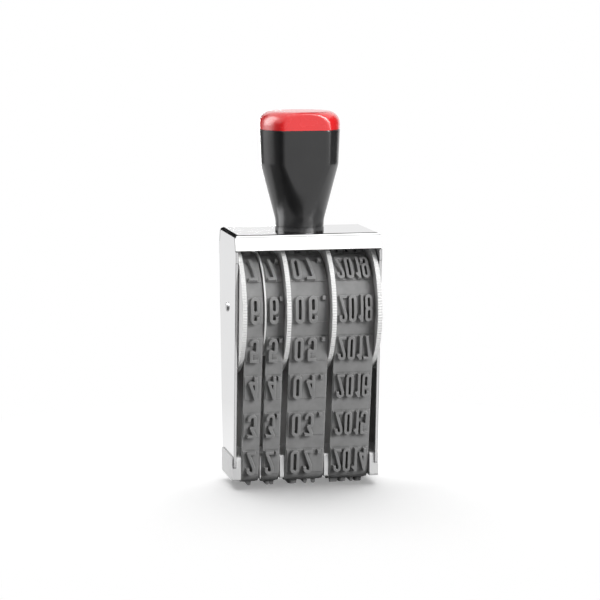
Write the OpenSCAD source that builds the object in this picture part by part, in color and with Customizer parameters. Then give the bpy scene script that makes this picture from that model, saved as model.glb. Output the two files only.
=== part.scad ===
// Hand date stamp with four endless type bands, millimetres, real size.
// Origin: on the printing plane, under the middle of the axle. +Z up, front is -Y.
// Each band runs over a drum on the axle and round the foot that presses the type down.

/* [Type bands] */
// Width of the band with the tens of the day
day_tens_w = 6.6; // [5:0.1:9]
// Width of the band with the units of the day and their point
day_units_w = 6.3; // [5:0.1:9]
// Width of the band with the month and its point
month_w = 14.4; // [11:0.1:18]
// Width of the band with the year
year_w = 14.6; // [11:0.1:18]
// Thickness of the plain rubber band
band_t = 1.2; // [0.8:0.1:1.6]
// Height of the raised type above the plain band
type_h = 2; // [1.4:0.1:2.4]
// Length of a type block along the band
type_len = 9.2; // [8:0.1:10]
// Bare margin of the printing flat on each side of a type block
flat_spare = 0.5; // [0.2:0.05:0.8]
// Bare margin between a type block and the band's edge
type_inset = 0.25; // [0.1:0.05:0.5]
// Type blocks round one endless band
char_count = 14; // [12:1:15]

/* [Wheels] */
// Height of the axle above the printing plane
axle_h = 66.7; // [60:0.1:74]
// Diameter of the axle
axle_d = 3; // [2.5:0.1:4]
// Diameter of the riveted axle ends
rivet_d = 3.9; // [3.4:0.1:5]
// Height of the riveted axle ends
rivet_h = 0.5; // [0.3:0.1:0.8]
// Diameter of a drum where the band lies on it
drum_d = 37.2; // [33:0.2:41]
// Wall of a drum's rim
drum_wall = 1.6; // [1.2:0.1:2.4]
// Thickness of a drum's end wall
web_t = 1.8; // [1.2:0.1:2.4]
// Diameter of a drum's hub
hub_d = 8; // [6:0.2:9]
// Diameter of the boss that carries the thumb disc
boss_d = 12; // [10:0.2:15]
// Ribs between hub and rim
rib_count = 6; // [3:1:8]
// Thickness of a rib
rib_t = 1.2; // [0.8:0.1:1.8]
// How far a rib stands back from the drum's open end
rib_setback = 1; // [0.5:0.1:2]
// Thickness of a thumb disc
disc_t = 1.6; // [1.2:0.1:2.4]
// How far a thumb disc stands out past the type
disc_reach = 2.7; // [1.5:0.1:4]
// Teeth round a thumb disc
tooth_count = 150; // [90:2:180]
// Depth of the teeth
tooth_depth = 0.15; // [0.1:0.05:0.4]
// Thickness of the plain guide disc between the two day bands
guide_t = 0.6; // [0.4:0.05:1]
// How far the guide disc stands out past the plain band
guide_reach = 0.9; // [0.4:0.1:1.8]
// Diameter of the washers on the axle
washer_d = 7; // [5.5:0.1:8]

/* [Frame] */
// Thickness of the bent sheet
sheet_t = 1; // [0.8:0.1:1.2]
// Outer radius of the bends
bend_r = 1.7; // [1.5:0.1:2.5]
// Free height between the thumb discs and the top plate
top_room = 2.6; // [2.5:0.1:5]
// Depth of the top plate between the corners of its bends
top_depth = 31.8; // [28:0.2:36]
// Height of the front and back flanges
flange_h = 5.6; // [4:0.1:8]
// How far a flange leans outwards at its lower edge
flange_lean = 2; // [1:0.1:3]
// Slit between a flange and a side plate
slit = 0.3; // [0.1:0.05:0.4]
// Height of the wide upper part of a side plate
shoulder_h = 10.1; // [9:0.1:14]
// Step from the wide upper part to the tapering edge
shoulder_step = 0.5; // [0.3:0.1:1]
// Depth of a side plate at the foot
plate_foot_depth = 23.6; // [21:0.2:27]
// Height of a side plate's lower end above the printing plane
plate_foot_h = 6.2; // [5.5:0.1:8]
// Cut corners at a side plate's lower end
plate_cut = 2.4; // [1.5:0.1:3]

/* [Foot] */
// Depth of the foot over its end blocks
foot_depth = 22.4; // [20:0.2:26]
// Depth of the foot over the fins between the bands
fin_depth = 18.8; // [17.6:0.2:21]
// Height of the foot's upper edge above the printing plane
foot_top = 12; // [10.5:0.1:14]
// Radius of the foot's long edges under the bands
foot_edge_r = 3; // [2:0.1:4]
// Corner radius of the fins and end blocks
fin_r = 0.8; // [0.4:0.1:1.5]
// Thickness of the cheeks outside the side plates
cheek_t = 0.5; // [0.4:0.1:1]

/* [Handle] */
// Diameter of the collar between handle and frame
collar_d = 18; // [17:0.2:21]
// Height of the collar
collar_h = 0.9; // [0.6:0.1:1.5]
// Diameter of the handle's neck
neck_d = 17.8; // [16:0.2:20]
// Height of the straight neck
neck_h = 2.8; // [2:0.1:5]
// Radius of the blend between neck and flare
neck_blend = 14; // [6:1:20]
// Height of the flare from the neck to the knee
flare_h = 20.6; // [16:0.2:26]
// Diameter at the knee where the flare ends
knee_d = 28.6; // [26:0.2:32]
// Height of the grip from the knee to the seam with the cap
palm_h = 12.9; // [10:0.1:18]
// How far the palm widens on each side from the knee to the seam
palm_flare = 0.55; // [0.2:0.05:1.2]
// Small chamfer on both sides of the seam
seam_cut = 0.2; // [0.1:0.05:0.5]
// Height of the cap
cap_h = 6.7; // [6:0.1:9]
// Radius of the cap's upper edge
cap_round = 4.6; // [3:0.1:5.4]
// Distance across the front and back flats at the seam
flats_w = 23.7; // [21:0.1:26]
// Lean of the flats, in degrees
flats_lean = 2.6; // [0:0.1:5]
// Diameter of the spigot that holds the cap
spigot_d = 19; // [15:0.5:20]
// Height of the spigot
spigot_h = 4; // [3:0.1:6]
// Diameter of the handle's screw
screw_d = 4; // [3:0.1:5]
// Length of the screw inside the grip
screw_grip_l = 16; // [10:0.5:20]
// Diameter of the screw's head
screw_head_d = 7; // [6:0.1:8.5]
// Height of the screw's head
screw_head_h = 1.7; // [1.2:0.1:1.8]
// Thickness of the washer under the screw's head
screw_washer_t = 0.5; // [0.4:0.1:0.6]
// Diameter of the washer under the screw's head
screw_washer_d = 9; // [8:0.2:11]

/* [Clearances] */
// Radial room of a drum on the axle and in its band
run_gap = 0.05; // [0.02:0.01:0.09]
// Room on each face of a washer
face_gap = 0.05; // [0.03:0.01:0.1]
// Space between a frame plate and the nearest wheel
end_gap = 0.35; // [0.25:0.05:0.6]
// Space between neighbouring wheels
wheel_gap = 0.3; // [0.25:0.05:0.6]
// Space between a band and its own thumb disc
disc_gap = 0.25; // [0.2:0.05:0.6]
// Space between a band and the open end of its drum
edge_gap = 0.2; // [0.15:0.05:0.5]
// Space on each side of the guide disc
guide_gap = 0.15; // [0.1:0.05:0.3]
// Space between a fin of the foot and the bands beside it
fin_gap = 0.4; // [0.2:0.05:0.5]
// Room of the side plates in the foot and of the foot in the bands
seat_gap = 0.05; // [0.03:0.01:0.1]
// Radial room of the screw in the top plate and the collar
screw_gap = 0.2; // [0.1:0.05:0.4]

/* [Hidden] */
$fn = 96;

// Through cuts start and end this far outside the solid
over = 1;
// A straight side goes this far below the arc that it runs into
tuck = 0.003;

// Wheels in order from left to right; the first carries its thumb disc on its left
DAY_TENS = 0;
DAY_UNITS = 1;
MONTH = 2;
YEAR = 3;
band_w = [day_tens_w, day_units_w, month_w, year_w];
disc_left = [true, false, false, false];
guide_zone = guide_t + 2 * guide_gap;
gap_after = [guide_zone, wheel_gap, wheel_gap, 0];
drum_len = [for (w = band_w) w + disc_gap + edge_gap];
pitch_x = [for (i = [0:3]) drum_len[i] + disc_t + gap_after[i]];

// Sum of the first n values of a list
function total(v, n) = n <= 0 ? 0 : v[n - 1] + total(v, n - 1);

inner_w = total(pitch_x, 4) + 2 * end_gap;
frame_w = inner_w + 2 * sheet_t;
wheel_x = [for (i = [0:3]) -inner_w / 2 + end_gap + total(pitch_x, i)];
drum_x = [for (i = [0:3]) wheel_x[i] + (disc_left[i] ? disc_t : 0)];
disc_x = [for (i = [0:3]) wheel_x[i] + (disc_left[i] ? 0 : drum_len[i])];
band_x = [for (i = [0:3]) drum_x[i] + (disc_left[i] ? disc_gap : edge_gap)];

type_r = drum_d / 2 + band_t + type_h;
disc_d = 2 * (type_r + disc_reach);
guide_d = drum_d + 2 * (band_t + guide_reach);

// Closed loop of a band: one drum circle and two foot circles with their tangents.
// All offsets are measured outwards from the inner face of the band.
foot_z = band_t + type_h;
foot_y = type_len / 2 + flat_spare;
edge_z = foot_z + foot_edge_r;
loop_rise = axle_h - edge_z;
loop_span = norm([foot_y, loop_rise]);
loop_lean = atan2(loop_rise, foot_y) - acos((drum_d / 2 - foot_edge_r) / loop_span);
loop_out = [-cos(loop_lean), -sin(loop_lean)];
loop_up = [-sin(loop_lean), cos(loop_lean)];
neutral = band_t / 2;
edge_turn = 90 - loop_lean;
edge_len = (foot_edge_r + neutral) * edge_turn * PI / 180;
run_len = sqrt(pow(loop_span, 2) - pow(drum_d / 2 - foot_edge_r, 2));
drum_turn = 90 + loop_lean;
half_loop = foot_y + edge_len + run_len + (drum_d / 2 + neutral) * drum_turn * PI / 180;
type_pitch = 2 * half_loop / char_count;

// Point at offset t over the front half of the loop, s along the neutral line from the bottom
function loop_front(s, t) =
    s <= foot_y ? [-s, foot_z - t] :
    s <= foot_y + edge_len ? edge_point((s - foot_y) / (foot_edge_r + neutral) * 180 / PI, t) :
    s <= foot_y + edge_len + run_len ? run_point(s - foot_y - edge_len, t) :
    drum_point((s - foot_y - edge_len - run_len) / (drum_d / 2 + neutral) * 180 / PI, t);
function edge_point(turn, t) =
    [-foot_y, edge_z] + (foot_edge_r + t) * [-sin(turn), -cos(turn)];
function run_point(along, t) =
    [-foot_y, edge_z] + (foot_edge_r + t) * loop_out + along * loop_up;
function drum_point(turn, t) =
    [0, axle_h] + (drum_d / 2 + t) * [-cos(turn - loop_lean), sin(turn - loop_lean)];
// Point over the whole loop; the back half mirrors the front half
function loop_point(s, t) =
    s < 0 ? mirror_y(loop_front(-s, t)) :
    s > half_loop ? mirror_y(loop_front(2 * half_loop - s, t)) :
    loop_front(s, t);
function mirror_y(p) = [-p[0], p[1]];

frame_h = axle_h + disc_d / 2 + top_room + sheet_t;
flange_y = top_depth / 2 + flange_lean;
flange_angle = atan2(flange_lean, flange_h);
bend_y = top_depth / 2 - bend_r * (1 - sin(flange_angle)) / cos(flange_angle);
cheek_x = frame_w / 2 + cheek_t;

collar_z = frame_h;
neck_z = collar_z + collar_h;
flare_z = neck_z + neck_h;
knee_z = flare_z + flare_h;
seam_z = knee_z + palm_h;
flare_angle = atan2((knee_d - neck_d) / 2, flare_h);
blend_l = neck_blend * tan(flare_angle / 2);
seam_d = knee_d + 2 * palm_flare;
flat_reach = seam_d;

// A solid drawn along +Z is laid along +X at axle height, starting at x
module on_axle(x) {
    translate([x, 0, axle_h]) rotate([90, 0, 90]) children();
}

// An outline drawn in Y and Z, pulled along X from x0 to x1
module along_x(x0, x1) {
    translate([x0, 0, 0]) rotate([90, 0, 90]) linear_extrude(x1 - x0) children();
}

module washer(d, bore, t) {
    difference() {
        cylinder(d = d, h = t);
        translate([0, 0, -over]) cylinder(d = bore, h = t + 2 * over);
    }
}

// Area inside a band's loop, grown by t
module loop_area(t) {
    translate([0, axle_h]) circle(drum_d / 2 + t);
    for (side = [-1, 1]) translate([side * foot_y, edge_z]) circle(foot_edge_r + t);
    front = [drum_point(0, t - tuck), run_point(0, t - tuck), [-foot_y, foot_z - t]];
    polygon(concat(front, [for (i = [2:-1:0]) mirror_y(front[i])]));
}

// Strip of the loop between the offsets t0 and t1
module loop_strip(t0, t1) {
    difference() {
        loop_area(t1);
        loop_area(t0);
    }
}

// Wedge that cuts one type block out of a strip, centred at s
module type_wedge(s) {
    outer = [for (k = [-1:1]) loop_point(s + k * type_len / 2, foot_z + over)];
    inner = [for (k = [1:-1:-1]) loop_point(s + k * type_len / 2, neutral)];
    polygon(concat(outer, inner));
}

// One endless band with its ring of raised type blocks
module type_band(i) {
    x0 = band_x[i];
    x1 = x0 + band_w[i];
    color("gray") union() {
        along_x(x0, x1) loop_strip(0, band_t);
        along_x(x0 + type_inset, x1 - type_inset)
            for (k = [0:char_count - 1]) intersection() {
                loop_strip(neutral, foot_z);
                type_wedge((k - floor(char_count / 2) + 1) * type_pitch);
            }
    }
}

// Moulded drum: rim, end wall on the thumb disc's side, hub, ribs and boss
module drum_body(len) {
    rim_d = drum_d - 2 * run_gap;
    bore_d = axle_d + 2 * run_gap;
    rim_in = rim_d / 2 - drum_wall;
    rib_h = len - rib_setback - web_t / 2;
    difference() {
        union() {
            difference() {
                cylinder(d = rim_d, h = len);
                translate([0, 0, -over]) cylinder(r = rim_in, h = len - web_t + over);
            }
            cylinder(d = hub_d, h = len);
            for (k = [0:rib_count - 1]) rotate(k * 360 / rib_count)
                translate([bore_d / 2 + rib_t, -rib_t / 2, rib_setback])
                    cube([rim_in + drum_wall / 2 - bore_d / 2 - rib_t, rib_t, rib_h]);
            translate([0, 0, len - web_t / 2]) cylinder(d = boss_d, h = web_t / 2 + disc_t);
        }
        translate([0, 0, -over]) cylinder(d = bore_d, h = len + disc_t + 2 * over);
    }
}

module drum(i) {
    color("whitesmoke") {
        if (disc_left[i]) on_axle(drum_x[i] + drum_len[i]) mirror([0, 0, 1]) drum_body(drum_len[i]);
        else on_axle(drum_x[i]) drum_body(drum_len[i]);
    }
}

// Thumb disc with a ring of pointed teeth, pressed on its drum's boss
module thumb_disc(i) {
    step = 180 / tooth_count;
    color("whitesmoke") on_axle(disc_x[i]) linear_extrude(disc_t) difference() {
        polygon([for (k = [0:2 * tooth_count - 1])
            (disc_d / 2 - (k % 2) * tooth_depth) * [cos(k * step), sin(k * step)]]);
        circle(d = boss_d);
    }
}

module guide_disc() {
    color("gainsboro") on_axle(drum_x[DAY_TENS] + drum_len[DAY_TENS] + guide_gap)
        washer(guide_d, axle_d + 2 * run_gap, guide_t);
}

// Washer that fills a space of width room at x, apart from its face clearances
module axle_washer(x, room) {
    color("silver") on_axle(x + face_gap) washer(washer_d, axle_d + 2 * run_gap, room - 2 * face_gap);
}

// Axle through both side plates with flat riveted ends
module axle() {
    color("silver") on_axle(-frame_w / 2) union() {
        cylinder(d = axle_d, h = frame_w);
        translate([0, 0, -rivet_h]) cylinder(d1 = axle_d, d2 = rivet_d, h = rivet_h);
        translate([0, 0, frame_w]) cylinder(d1 = rivet_d, d2 = axle_d, h = rivet_h);
    }
}

// Profile of the top plate and both flanges, drawn in by t
module flange_area(t) {
    lower = frame_h - flange_h;
    inset = t / cos(flange_angle);
    bend_out = (bend_r - t - tuck) * [-cos(flange_angle), sin(flange_angle)];
    bend_c = [-bend_y, frame_h - bend_r];
    for (side = [-1, 1]) translate([side * bend_y, bend_c[1]]) circle(bend_r - t);
    front = [[-bend_y, frame_h - t], bend_c + bend_out, [inset - flange_y, lower]];
    polygon(concat(front, [for (i = [2:-1:0]) mirror_y(front[i])]));
}

// Side plate's outline: slit behind the flange, shoulder under it, tapering edge, cut lower corners
module plate_outline() {
    lower = frame_h - flange_h;
    shoulder_z = frame_h - shoulder_h;
    edge_y = flange_y - shoulder_step;
    slit_y = flange_y - (sheet_t + slit) / cos(flange_angle);
    foot = plate_foot_depth / 2;
    flange_area(sheet_t + slit);
    translate([slit - bend_y, lower]) square([2 * (bend_y - slit), flange_h]);
    front = [
        [over - slit_y, lower + over], [-slit_y, lower], [-slit_y, lower - slit], [-flange_y, lower - slit],
        [-flange_y, shoulder_z], [-edge_y, shoulder_z],
        [-foot, plate_foot_h + plate_cut], [plate_cut - foot, plate_foot_h]
    ];
    polygon(concat(front, [for (i = [7:-1:0]) mirror_y(front[i])]));
}

// Bent sheet: channel of top plate and side plates, with leaning front and back flanges
module frame() {
    color("silver") difference() {
        intersection() {
            channel_block(0);
            union() {
                difference() {
                    along_x(-frame_w / 2, frame_w / 2) plate_outline();
                    channel_block(sheet_t);
                }
                along_x(-frame_w / 2, frame_w / 2) difference() {
                    flange_area(0);
                    flange_area(sheet_t);
                }
            }
        }
        on_axle(-frame_w) cylinder(d = axle_d, h = 2 * frame_w);
        translate([0, 0, frame_h - sheet_t - over])
            cylinder(d = screw_d + 2 * screw_gap, h = sheet_t + 2 * over);
    }
}

// Channel as a block through the whole depth, drawn in by t
module channel_block(t) {
    reach = flange_y + over;
    translate([0, reach, 0]) rotate([90, 0, 0]) linear_extrude(2 * reach) channel_area(t);
}

// Front view of the channel, drawn in by t
module channel_area(t) {
    half = frame_w / 2 - t;
    top = frame_h - t;
    round_r = bend_r - t;
    translate([-half, 0]) square([2 * half, top - round_r]);
    translate([round_r - half, 0]) square([2 * (half - round_r), top]);
    for (side = [-1, 1]) translate([side * (half - round_r), top - round_r]) circle(round_r);
}

// Comb that carries the bands at the bottom: core, fins and end blocks round the side plates
module foot_bridge() {
    end_l = band_x[DAY_TENS] - fin_gap;
    end_r = band_x[YEAR] + band_w[YEAR] + fin_gap;
    color("gainsboro") difference() {
        union() {
            along_x(-inner_w / 2, inner_w / 2) intersection() {
                loop_area(-seat_gap);
                translate([-foot_depth / 2, 0]) square([foot_depth, foot_top]);
            }
            along_x(-cheek_x, end_l) fin_area(foot_depth);
            along_x(end_r, cheek_x) fin_area(foot_depth);
            for (i = [DAY_TENS:MONTH])
                along_x(band_x[i] + band_w[i] + fin_gap, band_x[i + 1] - fin_gap)
                    fin_area(fin_depth);
        }
        for (side = [-1, 1]) {
            mid = side * (frame_w - sheet_t) / 2;
            half = sheet_t / 2 + seat_gap;
            translate([0, 0, -seat_gap]) along_x(mid - half, mid + half) plate_outline();
        }
    }
}

// Outline of a fin or an end block with round corners
module fin_area(depth) {
    half = depth / 2;
    low = foot_z + seat_gap;
    translate([-half, low + fin_r]) square([depth, foot_top - low - 2 * fin_r]);
    translate([fin_r - half, low]) square([depth - 2 * fin_r, foot_top - low]);
    for (y = [fin_r - half, half - fin_r], z = [low + fin_r, foot_top - fin_r])
        translate([y, z]) circle(fin_r);
}

// Front and back flats that cut the handle, leaning outwards towards the top
module handle_flats() {
    for (turn = [0, 180]) rotate(turn) translate([0, -flats_w / 2, seam_z]) rotate([flats_lean, 0, 0])
        translate([-flat_reach, -flat_reach, -2 * flat_reach])
            cube([2 * flat_reach, flat_reach, 3 * flat_reach]);
}

module handle_collar() {
    color([0.16, 0.16, 0.16]) translate([0, 0, collar_z])
        washer(collar_d, screw_d + 2 * screw_gap, collar_h);
}

// Grip: round neck, flare, knee and palm, with two flats that fade out on the flare
module handle_grip() {
    color([0.2, 0.2, 0.2]) difference() {
        rotate_extrude() {
            polygon([
                [0, neck_z], [neck_d / 2, neck_z], [neck_d / 2, flare_z], [knee_d / 2, knee_z],
                [seam_d / 2, seam_z - seam_cut], [seam_d / 2 - seam_cut, seam_z], [0, seam_z]
            ]);
            neck_fillet();
        }
        handle_flats();
        translate([0, 0, seam_z - spigot_h]) cylinder(d = spigot_d, h = spigot_h + over);
        translate([0, 0, neck_z - over]) cylinder(d = screw_d, h = screw_grip_l + over);
    }
}

// Hollow round blend between the straight neck and the flare
module neck_fillet() {
    corner = [neck_d / 2, flare_z];
    difference() {
        polygon([
            corner - [0, blend_l], corner + blend_l * [sin(flare_angle), cos(flare_angle)],
            corner - [blend_l, 0]
        ]);
        translate(corner + [neck_blend, -blend_l]) circle(neck_blend + tuck, $fn = 4 * $fn);
    }
}

// Cap with a large upper radius and a spigot pressed into the grip
module handle_cap() {
    color([0.82, 0.12, 0.12]) difference() {
        translate([0, 0, seam_z]) union() {
            rotate_extrude() cap_area();
            translate([0, 0, -spigot_h]) cylinder(d = spigot_d, h = spigot_h + seam_cut);
        }
        handle_flats();
    }
}

// Half section of the cap above the seam
module cap_area() {
    r = seam_d / 2;
    polygon([
        [0, 0], [r - seam_cut, 0], [r, seam_cut],
        [r, cap_h - cap_round], [r - cap_round, cap_h], [0, cap_h]
    ]);
    intersection() {
        translate([r - cap_round, cap_h - cap_round]) circle(cap_round);
        translate([r - cap_round, cap_h - cap_round]) square(cap_round);
    }
}

// Screw from below through the top plate into the grip
module handle_screw() {
    head_z = frame_h - sheet_t - screw_washer_t - screw_head_h;
    color("silver") union() {
        translate([0, 0, head_z]) cylinder(d = screw_head_d, h = screw_head_h);
        translate([0, 0, head_z]) cylinder(d = screw_d, h = neck_z + screw_grip_l - head_z);
    }
}

module screw_washer() {
    color("silver") translate([0, 0, frame_h - sheet_t - screw_washer_t])
        washer(screw_washer_d, screw_d + 2 * screw_gap, screw_washer_t);
}

frame();
foot_bridge();
axle();
axle_washer(-inner_w / 2, end_gap);  // axle_washer_left
axle_washer(inner_w / 2 - end_gap, end_gap);  // axle_washer_right
axle_washer(drum_x[MONTH] - wheel_gap, wheel_gap);  // wheel_washer_inner
axle_washer(drum_x[YEAR] - wheel_gap, wheel_gap);  // wheel_washer_outer
guide_disc();
drum(DAY_TENS);  // day_tens_drum
drum(DAY_UNITS);  // day_units_drum
drum(MONTH);  // month_drum
drum(YEAR);  // year_drum
thumb_disc(DAY_TENS);  // day_tens_thumb_disc
thumb_disc(DAY_UNITS);  // day_units_thumb_disc
thumb_disc(MONTH);  // month_thumb_disc
thumb_disc(YEAR);  // year_thumb_disc
type_band(DAY_TENS);  // day_tens_band
type_band(DAY_UNITS);  // day_units_band
type_band(MONTH);  // month_band
type_band(YEAR);  // year_band
handle_collar();
handle_grip();
handle_cap();
handle_screw();
screw_washer();
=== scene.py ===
"""Looks of a hand date stamp: bright bent sheet, toothed wheels, type bands, comb foot and handle."""

import logging
import math
from dataclasses import dataclass, field, replace
from enum import Enum

import bmesh
import bpy
import numpy as np
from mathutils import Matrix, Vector
from mathutils.geometry import delaunay_2d_cdt


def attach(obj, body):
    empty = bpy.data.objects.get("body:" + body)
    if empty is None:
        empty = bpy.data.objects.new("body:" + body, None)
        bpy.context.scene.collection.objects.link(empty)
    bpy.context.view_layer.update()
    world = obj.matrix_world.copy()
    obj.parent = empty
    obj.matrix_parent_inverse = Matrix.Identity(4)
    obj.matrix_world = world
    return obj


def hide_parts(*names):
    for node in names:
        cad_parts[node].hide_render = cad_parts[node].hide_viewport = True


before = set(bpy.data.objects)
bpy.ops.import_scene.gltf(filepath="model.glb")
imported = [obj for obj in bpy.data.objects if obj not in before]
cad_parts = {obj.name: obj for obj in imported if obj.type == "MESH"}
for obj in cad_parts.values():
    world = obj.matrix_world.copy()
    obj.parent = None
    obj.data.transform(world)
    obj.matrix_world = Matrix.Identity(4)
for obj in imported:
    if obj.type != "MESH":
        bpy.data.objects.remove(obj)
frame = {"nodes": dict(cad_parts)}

LOG = logging.getLogger("date_stamp")
MM = 0.001
STAMP_BODY = "stamp"
# Face mark for the painted light on the bands' inner faces.
INNER_LIGHT_MARK = "painted_inner_light"

# Values that the finishes and the studio share

UNIT = (0.0, 1.0)
EVEN = (1.0, 1.0, 1.0)
WHITE = (1.0, 1.0, 1.0, 1.0)
NOISE_MIDDLE = (0.3, 0.7)
DRIFT_DETAIL = 4
GLOSS_DETAIL = 5
SWELL_DETAIL = 1
GRAIN_DETAIL = 3
CORNER_SAMPLES = 8
# Colour of the painted shade in slits and corners, and the occlusion at which it is full.
PAINTED_SHADE_COLOUR = (0.03, 0.029, 0.027)
PAINTED_SHADE_FULL = 0.2
# Turn of the normal over which the painted edge line fades in.
PAINTED_EDGE_TURN = (0.99, 0.8)
SHEET_GLOW = 0.9
CARD_TONE = 0.015
CARD_ROUGHNESS = 0.9
CARD_SPECULAR = 0.1

# Tolerances and steps: figures in millimetres, the weld of meshes in metres, arcs in degrees

SLACK = 0.01
TRACE_SLACK = 0.012
SKIN_SLACK = 1e-5
FAR_OFF = 1e9
TINY = 1e-9
WELD = 2e-7
ARC_STEP = 12.0
FILLET_STEPS = 8
SHARP_ANGLE = math.radians(25)

Colour = tuple[float, float, float]
Point2 = tuple[float, float]
Point3 = tuple[float, float, float]
Patch = tuple[np.ndarray, list[list[int]]]
Piece = bpy.types.Object
Group = bpy.types.Collection
Socket = bpy.types.NodeSocket
Value = Socket | float | tuple[float, ...]
Inputs = dict[str | int, Value]


class Wheel(Enum):
    """The four wheels and their bands, from left to right."""

    DAY_TENS = "day_tens"
    DAY_UNITS = "day_units"
    MONTH = "month"
    YEAR = "year"


class StrokeEnd(Enum):
    """How a stroke of a figure ends."""

    ROUND = "round"
    FLAT = "flat"


class Lit(Enum):
    """What a lamp or a card's glow lights."""

    STAMP = "stamp"
    FLOOR = "floor"
    SHEET = "sheet"


# Finishes


class Nodes:
    """Adds nodes to one tree and wires them up."""

    def __init__(self, owner: bpy.types.Material | bpy.types.World) -> None:
        """Starts with an empty tree.

        Args:
            owner: Material or world of the tree.
        """
        owner.use_nodes = True
        self.tree = owner.node_tree
        self.tree.nodes.clear()

    def feed(self, target: Socket, value: Value) -> None:
        """Joins an input to an output, or sets it.

        Args:
            target: The input.
            value: The output to join, or the value to set.
        """
        if isinstance(value, Socket):
            self.tree.links.new(value, target)
        else:
            target.default_value = value

    def add(self, kind: str, inputs: Inputs | None = None, **settings: str | int) -> bpy.types.Node:
        """Adds a node.

        Args:
            kind: Kind of node.
            inputs: What its inputs are joined to or set to.
            **settings: The node's own settings.

        Returns:
            The node.
        """
        node = self.tree.nodes.new(f"ShaderNode{kind}")
        for name, setting in settings.items():
            setattr(node, name, setting)
        for name, value in (inputs or {}).items():
            self.feed(node.inputs[name], value)
        return node

    def maths(self, operation: str, first: Socket, second: Socket | float) -> Socket:
        """Result of a math node."""
        return self.add("Math", {0: first, 1: second}, operation=operation).outputs[0]

    def mapped(self, value: Socket, source: Point2 = UNIT, target: Point2 = UNIT) -> Socket:
        """Maps a value from one range to another and stops at its ends."""
        ends = dict(zip(("From Min", "From Max", "To Min", "To Max"), (*source, *target)))
        return self.add("MapRange", {"Value": value, **ends}).outputs[0]

    def mixed(self, share: Socket, first: Socket | Colour, second: Colour) -> Socket:
        """Mixes two colours.

        Args:
            share: Share of the second colour.
            first: Colour at zero.
            second: Colour at one.

        Returns:
            The mixed colour.
        """
        node = self.add("Mix", {"Factor": share}, data_type="RGBA")
        sockets = [s for s in node.inputs if s.type == "RGBA"]
        for socket, colour in zip(sockets, (first, second)):
            self.feed(socket, (*colour, 1) if isinstance(colour, tuple) else colour)
        return next(s for s in node.outputs if s.type == "RGBA")

    def seen(self) -> Socket:
        """Tells the rays that see the white surround from those that it only lights.

        Returns:
            One for camera, glossy and transmission rays, and zero for others.
        """
        rays = self.add("LightPath").outputs
        value = self.maths("MAXIMUM", rays["Is Camera Ray"], rays["Is Glossy Ray"])
        return self.maths("MAXIMUM", value, rays["Is Transmission Ray"])


class Shader(Nodes):
    """Nodes of one material round a principled shader."""

    def __init__(self, name: str) -> None:
        """Starts a material.

        Args:
            name: Name of the material.
        """
        self.material = bpy.data.materials.new(name)
        super().__init__(self.material)
        self.surface = self.add("BsdfPrincipled")
        self.add("OutputMaterial", {0: self.surface.outputs[0]})
        self.place = self.add("TexCoord").outputs["Object"]
        self.normal: Socket | None = None

    def noise(self, scale: float, detail: float, stretch: Point3 = EVEN) -> Socket:
        """Noise over the object's own coordinates, by cells for each metre, octaves and stretch."""
        place = self.add("Mapping", {"Vector": self.place, "Scale": stretch}).outputs[0]
        return self.add("TexNoise", {"Vector": place, "Scale": scale, "Detail": detail}).outputs["Fac"]

    def corners(self, strength: float, reach_mm: float, free: float) -> Socket:
        """Share of the painted shade in slits and tight corners, from the occlusion there, none where a
        place is free.
        """
        reach = {"Distance": reach_mm * MM}
        corner = self.add("AmbientOcclusion", reach, samples=CORNER_SAMPLES, only_local=True)
        return self.mapped(corner.outputs["AO"], (PAINTED_SHADE_FULL, free), (strength, 0))

    def edges(self, reach_mm: float) -> Socket:
        """Finds sharp edges, where a line is painted: painted shade on the bright sheet, painted
        highlight on the rims of the rubber figures.

        Args:
            reach_mm: Width of the painted line.

        Returns:
            Share of the painted line.
        """
        rounded = self.add("Bevel", {"Radius": reach_mm * MM}, samples=CORNER_SAMPLES).outputs[0]
        flat = self.add("NewGeometry").outputs["Normal"]
        turn = self.add("VectorMath", {0: rounded, 1: flat}, operation="DOT_PRODUCT")
        return self.mapped(turn.outputs["Value"], PAINTED_EDGE_TURN)

    def bump(self, height: Socket, depth_mm: float) -> None:
        """Adds a bump on top of the bumps before it.

        Args:
            height: Height from 0 to 1.
            depth_mm: Height of 1 in millimetres.
        """
        inputs = {"Strength": 1.0, "Distance": depth_mm * MM, "Height": height}
        if self.normal is not None:
            inputs["Normal"] = self.normal
        self.normal = self.add("Bump", inputs).outputs[0]
        self.feed(self.surface.inputs["Normal"], self.normal)


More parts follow.
